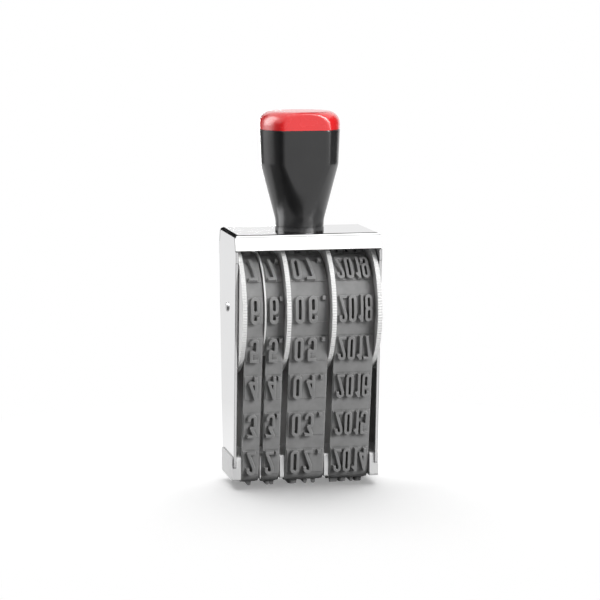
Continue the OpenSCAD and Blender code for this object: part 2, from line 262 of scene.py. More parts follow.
@dataclass(frozen=True)
class Finish:
    """One surface finish: colour with drift, gloss with drift, broad swell and fine grain, and painted
    light and shade where they are set.
    """

    name: str
    colour: Colour
    roughness: float
    metallic: float = 0.0
    specular: float = 0.5
    coat: float = 0.0
    drift: float = 0.05
    drift_scale: float = 120.0
    gloss_drift: float = 0.03
    gloss_scale: float = 300.0
    swell_mm: float = 0.0
    swell_scale: float = 60.0
    grain_mm: float = 0.0
    grain_scale: float = 4000.0
    grain_stretch: Point3 = EVEN
    # Painted shade in slits and tight corners: its strength, its reach and the occlusion at which it
    # stops.
    painted_shade: float = 0.0
    shade_reach_mm: float = 1.2
    shade_open: float = 0.6
    # Painted light: a lighter colour for the marked inner faces of the bands, seen through the gaps
    # between them.
    painted_inner_light: Colour | None = None
    # Colour painted along sharp edges and the width of that line: darker as painted shade, lighter as
    # painted highlight.
    edge: Colour | None = None
    painted_edge_reach_mm: float = 0.3
    glow: float = 0.0

    def material(self) -> bpy.types.Material:
        """Makes the material, or gives the one already made.

        Returns:
            The material.
        """
        made = bpy.data.materials.get(self.name)
        if made is not None:
            return made
        shader = Shader(self.name)
        gloss = shader.noise(self.gloss_scale, GLOSS_DETAIL, self.grain_stretch)
        gloss_range = (self.roughness - self.gloss_drift, self.roughness + self.gloss_drift)
        for name, value in (
            ("Base Color", self.tint(shader)),
            ("Roughness", shader.mapped(gloss, NOISE_MIDDLE, gloss_range)),
            ("Metallic", self.metallic),
            ("Specular IOR Level", self.specular),
            ("Coat Weight", self.coat),
            ("Coat Roughness", self.roughness),
            ("Emission Strength", self.glow),
        ):
            shader.feed(shader.surface.inputs[name], value)
        if self.swell_mm:
            shader.bump(shader.noise(self.swell_scale, SWELL_DETAIL), self.swell_mm)
        if self.grain_mm:
            shader.bump(shader.noise(self.grain_scale, GRAIN_DETAIL, self.grain_stretch), self.grain_mm)
        return shader.material

    def tint(self, shader: Shader) -> Socket:
        """Works out the colour, with its drift, painted light on inner faces, painted lines along edges
        and painted shade in corners.

        Args:
            shader: Nodes to add to.

        Returns:
            The colour.
        """
        dark = tuple(c * (1 - self.drift) for c in self.colour)
        light = tuple(min(1.0, c * (1 + self.drift)) for c in self.colour)
        share = shader.mapped(shader.noise(self.drift_scale, DRIFT_DETAIL), NOISE_MIDDLE)
        colour = shader.mixed(share, dark, light)
        # Painted light: the marked inner faces take the lighter colour.
        if self.painted_inner_light is not None:
            inner_light_share = shader.add("Attribute", attribute_name=INNER_LIGHT_MARK).outputs["Fac"]
            colour = shader.mixed(inner_light_share, colour, self.painted_inner_light)
        # Painted line along sharp edges: painted shade on the bright sheet, painted highlight on the
        # rubber's rims.
        if self.edge is not None:
            colour = shader.mixed(shader.edges(self.painted_edge_reach_mm), colour, self.edge)
        # Painted shade: slits and tight corners are darkened by their occlusion.
        if self.painted_shade:
            share = shader.corners(self.painted_shade, self.shade_reach_mm, self.shade_open)
            colour = shader.mixed(share, colour, PAINTED_SHADE_COLOUR)
        return colour

    def dress(self, piece: Piece) -> None:
        """Gives a piece this finish on all its faces.

        Args:
            piece: The piece to dress.
        """
        if not piece.material_slots:
            piece.data.materials.append(self.material())
        for entry in piece.material_slots:
            entry.material = self.material()


# The bright sheet has painted shade in its slits and a painted dark line along its edges.
BRIGHT_SHEET = Finish(
    "bright_plated_sheet", (0.625, 0.625, 0.63), 0.06, metallic=1.0, drift=0.015, drift_scale=40,
    gloss_drift=0.025, gloss_scale=250, swell_mm=0.02, swell_scale=45, grain_mm=0.0002, grain_scale=900,
    grain_stretch=(1, 1, 0.1), painted_shade=0.95, edge=(0.14, 0.14, 0.14), painted_edge_reach_mm=0.6,
)
TURNED_STEEL = Finish(
    "turned_steel", (0.42, 0.42, 0.425), 0.34, metallic=1.0, drift=0.08, drift_scale=500,
    gloss_drift=0.06, gloss_scale=900, grain_mm=0.003, grain_scale=2500,
)
WHEEL_PLASTIC = Finish(
    "satin_wheel_plastic", (0.79, 0.79, 0.785), 0.42, drift=0.02, drift_scale=90,
    gloss_drift=0.05, gloss_scale=500, grain_mm=0.004, grain_scale=5000,
)
FOOT_PLASTIC = Finish(
    "satin_foot_plastic", (0.66, 0.66, 0.66), 0.4, drift=0.03, drift_scale=90,
    gloss_drift=0.06, gloss_scale=500, grain_mm=0.005, grain_scale=4500,
)
# The type rubber has painted light on the bands' inner faces, painted highlights on the figures' rims
# and painted shade round their feet.
TYPE_RUBBER = Finish(
    "grey_type_rubber", (0.245, 0.245, 0.245), 0.62, specular=0.3, drift=0.1, drift_scale=260,
    gloss_drift=0.08, gloss_scale=700, grain_mm=0.012, grain_scale=3500, painted_inner_light=(0.38, 0.38, 0.375),
    painted_shade=0.85, shade_reach_mm=1.0, shade_open=0.9, edge=(0.46, 0.46, 0.46),
)
HANDLE_BLACK = Finish(
    "gloss_black_moulding", (0.014, 0.014, 0.0145), 0.24, specular=0.62, drift=0.12, drift_scale=80,
    gloss_drift=0.025, gloss_scale=160, swell_mm=0.01, swell_scale=50, grain_mm=0.0002, grain_scale=2500,
)
HANDLE_RED = replace(
    HANDLE_BLACK, name="gloss_red_moulding", colour=(0.8, 0.017, 0.02), roughness=0.26, specular=0.5,
    coat=1.0, drift=0.04,
)


# Figures


@dataclass(frozen=True)
class Stroke:
    """Middle line of one stroke of a figure, in millimetres, and how its two ends are cut."""

    points: tuple[Point2, ...]
    start: StrokeEnd = StrokeEnd.ROUND
    end: StrokeEnd = StrokeEnd.ROUND

    def distance(self, at: np.ndarray, half: float) -> np.ndarray:
        """Distance of points from the middle line; past a flat end it grows from half the width.

        Args:
            at: Points, one row each.
            half: Half the stroke's width.

        Returns:
            One distance for each point.
        """
        line = np.array(self.points)
        last = len(line) - 2
        best = np.full(len(at), FAR_OFF)
        for k, (a, b) in enumerate(zip(line[:-1], line[1:])):
            length = max(float(np.linalg.norm(b - a)), TINY)
            way = (b - a) / length
            along = (at - a) @ way
            reach = np.linalg.norm(at - a - np.clip(along, 0, length)[:, None] * way, axis=1)
            ends = ((k == 0, self.start, -along), (k == last, self.end, along - length))
            for is_tip, kind, past in ends:
                if is_tip and kind is StrokeEnd.FLAT:
                    across = np.abs((at - a) @ np.array((-way[1], way[0])))
                    reach = np.maximum(np.where(past > 0, across, reach), half + past)
            best = np.minimum(best, reach)
        return best


def arc(centre: Point2, radius: float, start: float, end: float) -> list[Point2]:
    """Points on an arc.

    Args:
        centre: Middle of the arc.
        radius: Its radius.
        start: First angle in degrees.
        end: Last angle in degrees.

    Returns:
        The points from start to end.
    """
    steps = max(2, int(abs(end - start) / ARC_STEP))
    angles = np.radians(np.linspace(start, end, steps + 1))
    return [(centre[0] + radius * math.cos(a), centre[1] + radius * math.sin(a)) for a in angles]


def oval(middle: float, under: float, over: float, turn: float) -> Stroke:
    """Closed upright stroke between two heights, with half-round ends."""
    ring = [*arc((middle, over - turn), turn, 0, 180), *arc((middle, under + turn), turn, 180, 360)]
    return Stroke((*ring, ring[0]))


@dataclass
class FigureSet:
    """Condensed round-shouldered figures of one size, in millimetres."""

    height: float = 9.0
    width: float = 3.3
    one_width: float = 2.1
    point_width: float = 1.2
    point_height: float = 1.4
    stroke: float = 1.1
    chamfer: float = 0.1
    chamfer_share: float = 0.93
    draft: float = 0.2
    grid: float = 0.07
    hook: float = 0.8
    join_rise: float = 0.75
    waist_rise: float = 0.1
    one_flag: Point2 = (1.05, 1.5)
    two_drop: float = 0.9
    three_back: float = 0.3
    four_bar: float = 2.4
    four_inset: float = 0.15
    five_drop: float = 0.25
    five_angle: float = 120.0
    seven_back: float = 0.35
    outlines: dict[str, list[list[np.ndarray]]] = field(default_factory=dict)

    def advance(self, figure: str) -> float:
        """Width of one figure."""
        return {"1": self.one_width, ".": self.point_width}.get(figure, self.width)

    def strokes(self, figure: str) -> list[Stroke]:
        """Middle lines of one figure.

        Args:
            figure: A digit or a point.

        Returns:
            Its strokes.
        """
        half, flat = self.stroke / 2, StrokeEnd.FLAT
        wide, high = self.advance(figure), self.height
        left, right, base, top = half, wide - half, half, high - half
        turn, middle = (wide - 2 * half) / 2, wide / 2
        join, waist = high / 2 + self.join_rise, high / 2 + self.waist_rise
        roof, floor, bowl = (middle, top - turn), (middle, base + turn), (middle, join - turn)
        shoulder = top - turn - self.hook
        lower = [*arc(bowl, turn, 90, 0), *arc(floor, turn, 0, -180), (left, base + turn + self.hook)]
        if figure == "0":
            return [oval(middle, base, top, turn)]
        if figure == "1":
            tip = (right - self.one_flag[0], top - self.one_flag[1])
            flag = Stroke(((right, top), tip), end=flat)
            return [Stroke(((right, 0), (right, high)), flat, flat), flag]
        if figure == "2":
            line = [(left, shoulder), *arc(roof, turn, 180, 0), (right, top - turn - self.two_drop)]
            return [Stroke((*line, (left, base), (wide, base)), flat, flat)]
        if figure == "3":
            line = [(0, top), (right, top), (middle - self.three_back, join)]
            return [Stroke((*line, *lower), flat, flat)]
        if figure == "4":
            stem, bar = right - self.four_inset, self.four_bar
            return [Stroke(((stem, 0), (stem, top), (left, bar), (wide, bar)), flat, flat)]
        if figure == "5":
            line = [(wide, top), (left, top), (left, join - self.five_drop)]
            return [Stroke((*line, *arc(bowl, turn, self.five_angle, 90), *lower[1:]), flat, flat)]
        if figure in ("6", "9"):
            line = [(right, shoulder), *arc(roof, turn, 0, 180), *arc(floor, turn, 180, 360)]
            line += arc(bowl, turn, 0, 180)
            if figure == "9":
                line = [(wide - u, high - v) for u, v in line]
            return [Stroke(tuple(line), start=flat)]
        if figure == "7":
            return [Stroke(((0, top), (right, top), (middle - self.seven_back, 0)), flat, flat)]
        if figure == "8":
            return [oval(middle, base, waist, turn), oval(middle, waist, top, turn)]
        return [Stroke(((middle, 0), (middle, self.point_height)), flat, flat)]

    def distance(self, figure: str, at: np.ndarray) -> np.ndarray:
        """Distance of points, in the figure's own coordinates, from its edge, negative inside."""
        half = (self.point_width if figure == "." else self.stroke) / 2
        return np.min([s.distance(at, half) for s in self.strokes(figure)], axis=0) - half

    def levels(self) -> tuple[float, float, float]:
        """Distances from the stroke's edge of the face's rim, the wall's top and the wall's foot."""
        return (-self.chamfer, 0.0, self.draft)

    def rise(self, edge: np.ndarray) -> np.ndarray:
        """Share of the figure's full height at distances from the stroke's edge, negative inside."""
        rim, wall, foot = self.levels()
        return np.interp(edge, (rim + 2 * SLACK, wall, foot - 2 * SLACK), (1.0, self.chamfer_share, 0.0))

    def outline(self, figure: str) -> list[list[np.ndarray]]:
        """Closed outlines of a figure at each level, traced once on a fine grid.

        Args:
            figure: A digit or a point.

        Returns:
            For each level a list of closed loops of points.
        """
        if figure not in self.outlines:
            spare = 2 * self.draft + 2 * self.grid
            us = np.arange(-spare, self.advance(figure) + spare, self.grid)
            vs = np.arange(-spare, self.height + spare, self.grid)
            at = np.stack(np.meshgrid(us, vs), axis=-1)
            edge = self.distance(figure, at.reshape(-1, 2)).reshape(at.shape[:2])
            self.outlines[figure] = [
                [thinned(loop) for loop in traced(us, vs, edge - level)] for level in self.levels()
            ]
        return self.outlines[figure]


def traced(us: np.ndarray, vs: np.ndarray, value: np.ndarray) -> list[np.ndarray]:
    """Traces the closed lines on a grid where a value is zero.

    Args:
        us: Grid positions along the first axis.
        vs: Grid positions along the second axis.
        value: Values, one row for each of vs.

    Returns:
        Closed loops of points, without a repeated last point.
    """
    inside = value < 0
    places: dict[tuple, Point2] = {}
    joined: dict[tuple, list[tuple]] = {}

    def crossing(a: tuple[int, int], b: tuple[int, int]) -> tuple:
        """Finds the zero on the grid edge between two corners.

        Args:
            a: Row and column of one corner.
            b: Row and column of the other corner.

        Returns:
            Key of its place.
        """
        key = (a, b) if a < b else (b, a)
        if key not in places:
            (j0, i0), (j1, i1) = key
            share = value[j0, i0] / (value[j0, i0] - value[j1, i1])
            places[key] = (us[i0] + share * (us[i1] - us[i0]), vs[j0] + share * (vs[j1] - vs[j0]))
        return key

    corner_sum = inside[:-1, :-1].astype(int) + inside[:-1, 1:] + inside[1:, :-1] + inside[1:, 1:]
    for j, i in zip(*np.nonzero((corner_sum > 0) & (corner_sum < 4))):
        ring = [(j, i), (j, i + 1), (j + 1, i + 1), (j + 1, i)]
        cuts = [crossing(a, b) for a, b in zip(ring, ring[1:] + ring[:1]) if inside[a] != inside[b]]
        for first, second in zip(cuts[::2], cuts[1::2]):
            joined.setdefault(first, []).append(second)
            joined.setdefault(second, []).append(first)
    loops, seen = [], set()
    for start in sorted(joined):
        if start in seen:
            continue
        loop, at = [], start
        while at is not None:
            seen.add(at)
            loop.append(places[at])
            at = next((n for n in joined[at] if n not in seen), None)
        loops.append(np.array(loop))
    return loops


def thinned(loop: np.ndarray) -> np.ndarray:
    """Drops the points of a closed loop that lie on the line of their neighbours.

    Args:
        loop: Points of the loop.

    Returns:
        The loop with fewer points.
    """
    far = int(np.argmax(np.linalg.norm(loop - loop[0], axis=1)))
    keep = {0, far}
    closed = np.vstack([loop, loop[:1]])
    spans = [(0, far), (far, len(loop))]
    while spans:
        a, b = spans.pop()
        if b - a < 2:
            continue
        line = closed[b] - closed[a]
        away = closed[a + 1:b] - closed[a]
        off = np.abs(line[0] * away[:, 1] - line[1] * away[:, 0]) / max(np.linalg.norm(line), TINY)
        worst = int(np.argmax(off))
        if off[worst] > TRACE_SLACK:
            keep.add(a + 1 + worst)
            spans += [(a, a + 1 + worst), (a + 1 + worst, b)]
    return loop[sorted(keep)]


# Meshes and stand-ins


def placed(name: str, data: bpy.types.ID) -> Piece:
    """Makes an object and links it to the scene.

    Args:
        name: Name of the object.
        data: Its mesh, lamp or camera.

    Returns:
        The object.
    """
    made = bpy.data.objects.new(name, data)
    bpy.context.scene.collection.objects.link(made)
    return made


def quads(rows: int, lanes: int, closed: bool = False) -> list[list[int]]:
    """Faces between rows of points.

    Args:
        rows: Number of rows.
        lanes: Points in each row.
        closed: Whether each row is a ring.

    Returns:
        The faces.
    """
    faces = []
    for low in range(0, (rows - 1) * lanes, lanes):
        for n in range(lanes if closed else lanes - 1):
            after = (n + 1) % lanes
            faces.append([low + n, low + after, low + lanes + after, low + lanes + n])
    return faces


def solid_piece(name: str, parts: list[Patch]) -> Piece:
    """Joins patches of points and faces into one closed, outward-facing mesh object.

    Args:
        name: Name of the object.
        parts: Points in millimetres and faces of each patch.

    Returns:
        The new object, linked to the scene.
    """
    mesh = bpy.data.meshes.new(name)
    bm = bmesh.new()
    for points, faces in parts:
        verts = [bm.verts.new(Vector(p) * MM) for p in points]
        for face in faces:
            bm.faces.new([verts[n] for n in face])
    bmesh.ops.remove_doubles(bm, verts=bm.verts, dist=WELD)
    bmesh.ops.dissolve_degenerate(bm, edges=bm.edges, dist=WELD)
    bmesh.ops.recalc_face_normals(bm, faces=bm.faces)
    bm.to_mesh(mesh)
    bm.free()
    mesh.shade_smooth()
    mesh.set_sharp_from_angle(angle=SHARP_ANGLE)
    return placed(name, mesh)


def stand_in(piece: Piece, node: str, finish: Finish) -> None:
    """Dresses a piece and puts it in the place of its solid.

    Args:
        piece: The piece.
        node: Name of the solid.
        finish: Its finish.
    """
    finish.dress(piece)
    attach(piece, STAMP_BODY)
    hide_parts(node)
    LOG.info("%s: %d faces", piece.name, len(piece.data.polygons))


# Sub-assemblies


@dataclass
class BandLoop:
    """Line of an endless band over its drum and round the foot, in millimetres."""

    axle_h: float = 66.7
    drum_r: float = 18.6
    band_t: float = 1.2
    type_h: float = 2.0
    type_len: float = 9.2
    flat_spare: float = 0.5
    foot_edge_r: float = 3.0
    char_count: int = 14
    edge_step: float = 0.24
    drum_step: float = 1.1
    least_step: float = 0.15

    def __post_init__(self) -> None:
        """Works out the tangents and lengths of the loop."""
        foot_z = self.band_t + self.type_h
        self.foot_y = self.type_len / 2 + self.flat_spare
        self.edge_z = foot_z + self.foot_edge_r
        rise = self.axle_h - self.edge_z
        span = math.hypot(self.foot_y, rise)
        grow = self.drum_r - self.foot_edge_r
        self.lean = math.atan2(rise, self.foot_y) - math.acos(grow / span)
        neutral = self.band_t / 2
        self.edge_bend = self.foot_edge_r + neutral
        self.drum_bend = self.drum_r + neutral
        self.edge_end = self.foot_y + self.edge_bend * (math.pi / 2 - self.lean)
        self.run_end = self.edge_end + math.sqrt(span ** 2 - grow ** 2)
        self.half = self.run_end + self.drum_bend * (math.pi / 2 + self.lean)
        self.pitch = 2 * self.half / self.char_count

    def points(self, s: np.ndarray, t: np.ndarray) -> np.ndarray:
        """Places points of the band in the plane across the axle.

        Args:
            s: Lengths along the neutral line from the bottom, positive up the front.
            t: Heights over the band's inner face.

        Returns:
            Y and Z of each point.
        """
        s = (np.asarray(s, float) + self.half) % (2 * self.half) - self.half
        along, side = np.abs(s), np.where(s < 0, 1.0, -1.0)
        turn = np.clip(along - self.foot_y, 0, self.edge_end - self.foot_y) / self.edge_bend
        climb = np.clip(along - self.edge_end, 0, self.run_end - self.edge_end)
        out_y, out_z = math.cos(self.lean), -math.sin(self.lean)
        y = np.minimum(along, self.foot_y) + (self.foot_edge_r + t) * np.sin(turn) - out_z * climb
        z = self.edge_z - (self.foot_edge_r + t) * np.cos(turn) + out_y * climb
        swing = (along - self.run_end) / self.drum_bend - self.lean
        on_drum = along > self.run_end
        y = np.where(on_drum, (self.drum_r + t) * np.cos(swing), y)
        z = np.where(on_drum, self.axle_h + (self.drum_r + t) * np.sin(swing), z)
        return np.stack([side * y, z], axis=-1)

    def stops(self, start: float, end: float) -> list[float]:
        """Lengths at which a strip of band is divided, close together where it bends.

        Args:
            start: Start of the strip.
            end: End of the strip.

        Returns:
            The lengths from start to end, both included.
        """
        whole = 2 * self.half
        marks = {start, end}
        for low, high, step in (
            (self.foot_y, self.edge_end, self.edge_step),
            (self.run_end, whole - self.run_end, self.drum_step),
        ):
            for mark in np.linspace(low, high, int((high - low) / step) + 2):
                for at in (mark, -mark, whole - mark):
                    if start + self.least_step < at < end - self.least_step:
                        marks.add(float(at))
        return sorted(marks)


@dataclass
class TypeBand:
    """One rubber band with a ring of raised figures, made of a base strip, low fields and figures."""

    wheel: Wheel
    left: float
    width: float
    loop: BandLoop
    figures: FigureSet
    labels: list[str]
    gap: float = 0.65
    point_gap: float = 0.5
    inset: float = 0.25
    field_h: float = 0.4
    field_draft: float = 0.15
    cell_spare: float = 0.12
    side_lean: float = 0.1

    def layout(self, label: str) -> list[tuple[str, float]]:
        """Places the figures of one label across the band.

        Args:
            label: The figures, with a point at the end where the band has one.

        Returns:
            Each figure with its left edge.
        """
        gaps = [self.point_gap if b == "." else self.gap for b in label[1:]]
        start = (self.width - sum(map(self.figures.advance, label)) - sum(gaps)) / 2
        line = []
        for figure, after in zip(label, [*gaps, 0.0]):
            line.append((figure, start))
            start += self.figures.advance(figure) + after
        return line

    def heights(self, at: np.ndarray, line: list[tuple[str, float]]) -> np.ndarray:
        """Height over the band's inner face in one type field.

        Args:
            at: Points, across the band and up the figure from the field's middle.
            line: Each figure with its left edge.

        Returns:
            One height for each point.
        """
        loop = self.loop
        inside_u = self.width / 2 - self.inset - np.abs(at[:, 0] - self.width / 2)
        inside = np.minimum(inside_u, loop.type_len / 2 - np.abs(at[:, 1]))
        step = np.clip((inside - SLACK) / (self.field_draft - 2 * SLACK), 0, 1)
        edge = np.full(len(at), FAR_OFF)
        for figure, start in line:
            own = at - (start, -self.figures.height / 2)
            edge = np.minimum(edge, self.figures.distance(figure, own))
        figure_h = loop.type_h - self.field_h
        return loop.band_t + self.field_h * step + figure_h * self.figures.rise(edge)

    def cell(self, stops: list[float], middle: float, label: str) -> Patch:
        """Outer skin of one type field.

        Args:
            stops: Lengths at which the field is divided.
            middle: Length along the band at the field's middle.
            label: The figures on it.

        Returns:
            The points in millimetres and the faces.
        """
        points: list[Point2] = []
        edges: list[tuple[int, int]] = []

        def ring(corners: list[Point2]) -> None:
            """Adds a closed line that the skin's edges follow.

            Args:
                corners: Points of the line.
            """
            first, count = len(points), len(corners)
            points.extend((float(u), float(v)) for u, v in corners)
            edges.extend((first + n, first + (n + 1) % count) for n in range(count))

        for stop in stops:
            first = len(points)
            points.extend([(0.0, middle - stop), (self.width, middle - stop)])
            edges.append((first, first + 1))
            if first:
                edges.extend([(first - 2, first), (first - 1, first + 1)])
        for back in (0.0, self.field_draft):
            u0, v1 = self.inset + back, self.loop.type_len / 2 - back
            u1 = self.width - u0
            ring([(u0, -v1), (u1, -v1), (u1, v1), (u0, v1)])
        line = self.layout(label)
        for figure, start in line:
            for level in self.figures.outline(figure):
                for outline in level:
                    ring([(u + start, v - self.figures.height / 2) for u, v in outline])
        corners = [Vector(p) for p in points]
        spots, _, faces, *_ = delaunay_2d_cdt(corners, edges, [], 0, SKIN_SLACK, False)
        flat = np.array([tuple(p) for p in spots])
        spread = self.loop.points(middle - flat[:, 1], self.heights(flat, line))
        return np.column_stack([self.left + flat[:, 0], spread]), [list(f) for f in faces]

    def strip(self, stops: list[float], across: list[Point2]) -> Patch:
        """Plain strip of band along the loop.

        Args:
            stops: Lengths at which the strip is divided.
            across: Position across the band and height of each line along the strip.

        Returns:
            The points in millimetres and the faces.
        """
        points = [
            (self.left + u, *self.loop.points(np.array([stop]), np.array([t]))[0])
            for stop in stops for u, t in across
        ]
        return np.array(points), quads(len(stops), len(across))

    def build(self) -> Piece:
        """Makes the band's mesh, with a mark on its inner faces for their painted light.

        Returns:
            The band.
        """
        loop = self.loop
        rim = [(0.0, loop.band_t), (0.0, 0.0), (self.width, 0.0), (self.width, loop.band_t)]
        reach = loop.type_len / 2 + self.cell_spare
        parts = []
        for number, label in enumerate(self.labels):
            middle = number * loop.pitch
            stops = loop.stops(middle - reach, middle + reach)
            plain = loop.stops(middle + reach, middle + loop.pitch - reach)
            parts += [self.cell(stops, middle, label), self.strip(stops, rim)]
            parts.append(self.strip(plain, [*rim, rim[0]]))
        piece = solid_piece(f"{self.wheel.value}_type_band", parts)
        mark = piece.data.attributes.new(INNER_LIGHT_MARK, "FLOAT", "FACE")
        mark.data.foreach_set("value", [float(self.is_inner(face)) for face in piece.data.polygons])
        return piece

    def is_inner(self, face: bpy.types.MeshPolygon) -> bool:
        """Tells whether a face is on the band's inner side, where four corners span the full width."""
        spans = len(face.vertices) == 4 and abs(face.center.x / MM - self.left - self.width / 2) < SLACK
        return spans and abs(face.normal.x) <= self.side_lean and face.normal.y * face.center.y < 0


@dataclass
class BandSet:
    """The four type bands, each with its left edge, its width and the figures that it carries."""

    first_year: int = 2013
    months: int = 12
    digits: int = 10
    month_gap: float = 1.6
    month_point_gap: float = 1.9
    loop: BandLoop = field(default_factory=BandLoop)
    wide: FigureSet = field(default_factory=FigureSet)
    slim: FigureSet = field(default_factory=lambda: FigureSet(width=2.85, one_width=1.9, stroke=1.0))
    places: dict[Wheel, Point2] = field(default_factory=lambda: {
        Wheel.DAY_TENS: (-23.95, 6.6),
        Wheel.DAY_UNITS: (-16.05, 6.3),
        Wheel.MONTH: (-7.4, 14.4),
        Wheel.YEAR: (9.35, 14.6),
    })

    def labels(self, wheel: Wheel) -> list[str]:
        """Figures of one band, from the printing position up the front and down the back.

        Args:
            wheel: The band's wheel.

        Returns:
            One label for each type field; an empty one leaves the field bare.
        """
        count = self.loop.char_count
        if wheel is Wheel.YEAR:
            return [str(self.first_year + n) for n in range(count)]
        if wheel is Wheel.MONTH:
            return [f"{n + 1:02d}." if n < self.months else "" for n in range(count)]
        point = "." if wheel is Wheel.DAY_UNITS else ""
        return [f"{(n + 1) % self.digits}{point}" if n < self.digits else "" for n in range(count)]

    def build(self) -> None:
        """Makes all bands and puts them in the place of their solids."""
        for wheel, (left, width) in self.places.items():
            figures = self.slim if wheel is Wheel.YEAR else self.wide
            band = TypeBand(wheel, left, width, self.loop, figures, self.labels(wheel))
            if wheel is Wheel.MONTH:
                band.gap, band.point_gap = self.month_gap, self.month_point_gap
            stand_in(band.build(), f"{wheel.value}_band", TYPE_RUBBER)


def filleted(before: Point2, corner: Point2, after: Point2, reach: float) -> list[Point2]:
    """Rounds one corner of a profile.

    Args:
        before: Point before the corner.
        corner: The corner.
        after: Point after the corner.
        reach: Distance from the corner at which the round starts and ends.

    Returns:
        The points of the round.
    """
    mid = np.array(corner)
    ways = [np.array(p) - mid for p in (before, after)]
    start, end = (mid + reach * way / np.linalg.norm(way) for way in ways)
    shares = np.linspace(0, 1, FILLET_STEPS + 1)[:, None]
    line = (1 - shares) ** 2 * start + 2 * shares * (1 - shares) * mid + shares ** 2 * end
    return [(float(r), float(z)) for r, z in line]


@dataclass
class Handle:
    """Black grip and red cap: turned forms with a front and a back flat that have soft edges."""

    neck_z: float = 95.7
    neck_r: float = 8.9
    flare_z: float = 98.5
    neck_reach: float = 1.8
    ring_zs: tuple[float, ...] = (96.4, 97.15)
    ring_half: float = 0.2
    ring_floor: float = 0.3
    ring_depth: float = 0.16
    knee_z: float = 119.1
    knee_r: float = 14.3
    knee_reach: float = 0.7
    seam_z: float = 132.0
    seam_r: float = 14.85
    seam_cut: float = 0.2
    top_z: float = 138.7
    cap_round: float = 4.6
    flats_half: float = 11.85
    flats_lean: float = 2.6
    flats_end: float = 0.05
    edge_soft: float = 0.8
    steps: int = 320
    row: float = 0.6

    def grip_profile(self) -> list[Point2]:
        """Side of the grip, from the neck with its two grooves up to the seam.

        Returns:
            Radius and height of each point.
        """
        neck, flare = (self.neck_r, self.neck_z), (self.neck_r, self.flare_z)
        knee, seam = (self.knee_r, self.knee_z), (self.seam_r, self.seam_z - self.seam_cut)
        floor, depth = self.ring_floor, self.ring_depth
        groove = ((-1, 0), (-floor, depth), (floor, depth), (1, 0))
        half = self.ring_half
        return [
            neck,
            *((self.neck_r - cut, z + share * half) for z in self.ring_zs for share, cut in groove),
            *filleted(neck, flare, knee, self.neck_reach),
            *filleted(flare, knee, seam, self.knee_reach),
            seam,
            (self.seam_r - self.seam_cut, self.seam_z),
        ]

    def cap_profile(self) -> list[Point2]:
        """Radius and height along the cap's side, from the seam to the edge of its flat top."""
        centre = (self.seam_r - self.cap_round, self.top_z - self.cap_round)
        return [
            (self.seam_r - self.seam_cut, self.seam_z),
            (self.seam_r, self.seam_z + self.seam_cut),
            *arc(centre, self.cap_round, 0, 90),
        ]

    def reach(self, around: np.ndarray, radius: float, height: float) -> np.ndarray:
        """Distance of the surface from the middle line, with the flats blended in.

        Args:
            around: Angles from the front.
            radius: Radius of the turned form at this height.
            height: The height.

        Returns:
            One distance for each angle.
        """
        flat = self.flats_half + (height - self.seam_z) * math.tan(math.radians(self.flats_lean))
        to_flat = flat / np.maximum(np.abs(np.cos(around)), self.flats_end)
        near = np.maximum(self.edge_soft - np.abs(radius - to_flat), 0) / self.edge_soft
        return np.minimum(radius, to_flat) - near ** 2 * self.edge_soft / 4

    def skin(self, name: str, profile: list[Point2]) -> Piece:
        """Turns a profile into a closed form with its flats.

        Args:
            name: Name of the piece.
            profile: Radius and height from the bottom to the top.

        Returns:
            The piece.
        """
        rows = [profile[0]]
        for (r0, z0), (r1, z1) in zip(profile, profile[1:]):
            parts = max(1, round(math.hypot(r1 - r0, z1 - z0) / self.row))
            for n in range(1, parts + 1):
                rows.append((r0 + (r1 - r0) * n / parts, z0 + (z1 - z0) * n / parts))
        around = np.linspace(0, 2 * math.pi, self.steps, endpoint=False)
        points = []
        for radius, height in rows:
            out = self.reach(around, radius, height)
            points += zip(out * np.sin(around), -out * np.cos(around), np.full(self.steps, height))
        ends = [list(range(self.steps)), list(range(len(points) - self.steps, len(points)))]
        return solid_piece(name, [(np.array(points), quads(len(rows), self.steps, closed=True) + ends)])

    def build(self) -> None:
        """Makes grip and cap and puts them in the place of their solids."""
        grip = self.skin("grip_moulding", self.grip_profile())
        stand_in(grip, "handle_grip", HANDLE_BLACK)
        cap = self.skin("cap_moulding", self.cap_profile())
        stand_in(cap, "handle_cap", HANDLE_RED)


@dataclass(frozen=True)
class DressedNodes:
    """A group of solids that show as they are, each with its finish."""

    name: str
    finishes: dict[str, Finish]

    def dress(self, nodes: dict[str, Piece]) -> None:
        """Gives each solid its finish.

        Args:
            nodes: The frame's solids by name.
        """
        for node, finish in self.finishes.items():
            finish.dress(nodes[node])
        LOG.info("%s: %d solids dressed", self.name, len(self.finishes))


WASHERS = ("axle_washer_left", "axle_washer_right", "wheel_washer_inner", "wheel_washer_outer")
WHEEL_PARTS = tuple(f"{w.value}_{part}" for w in Wheel for part in ("drum", "thumb_disc"))
DRESSED_GROUPS = (
    DressedNodes("bent frame", {"frame": BRIGHT_SHEET}),
    DressedNodes("axle and washers", dict.fromkeys(("axle", *WASHERS), TURNED_STEEL)),
    DressedNodes("wheels", dict.fromkeys(("guide_disc", *WHEEL_PARTS), WHEEL_PLASTIC)),
    DressedNodes("foot", {"foot_bridge": FOOT_PLASTIC}),
    DressedNodes("handle collar", {"handle_collar": HANDLE_BLACK}),
    DressedNodes("handle screw", dict.fromkeys(("handle_screw", "screw_washer"), TURNED_STEEL)),
)


# Studio


def toward(azimuth: float, elevation: float) -> Vector:
    """Direction from the object in degrees, azimuth 0 to the front and positive to the right."""
    a, e = math.radians(azimuth), math.radians(elevation)
    return Vector((math.sin(a) * math.cos(e), -math.cos(a) * math.cos(e), math.sin(e)))


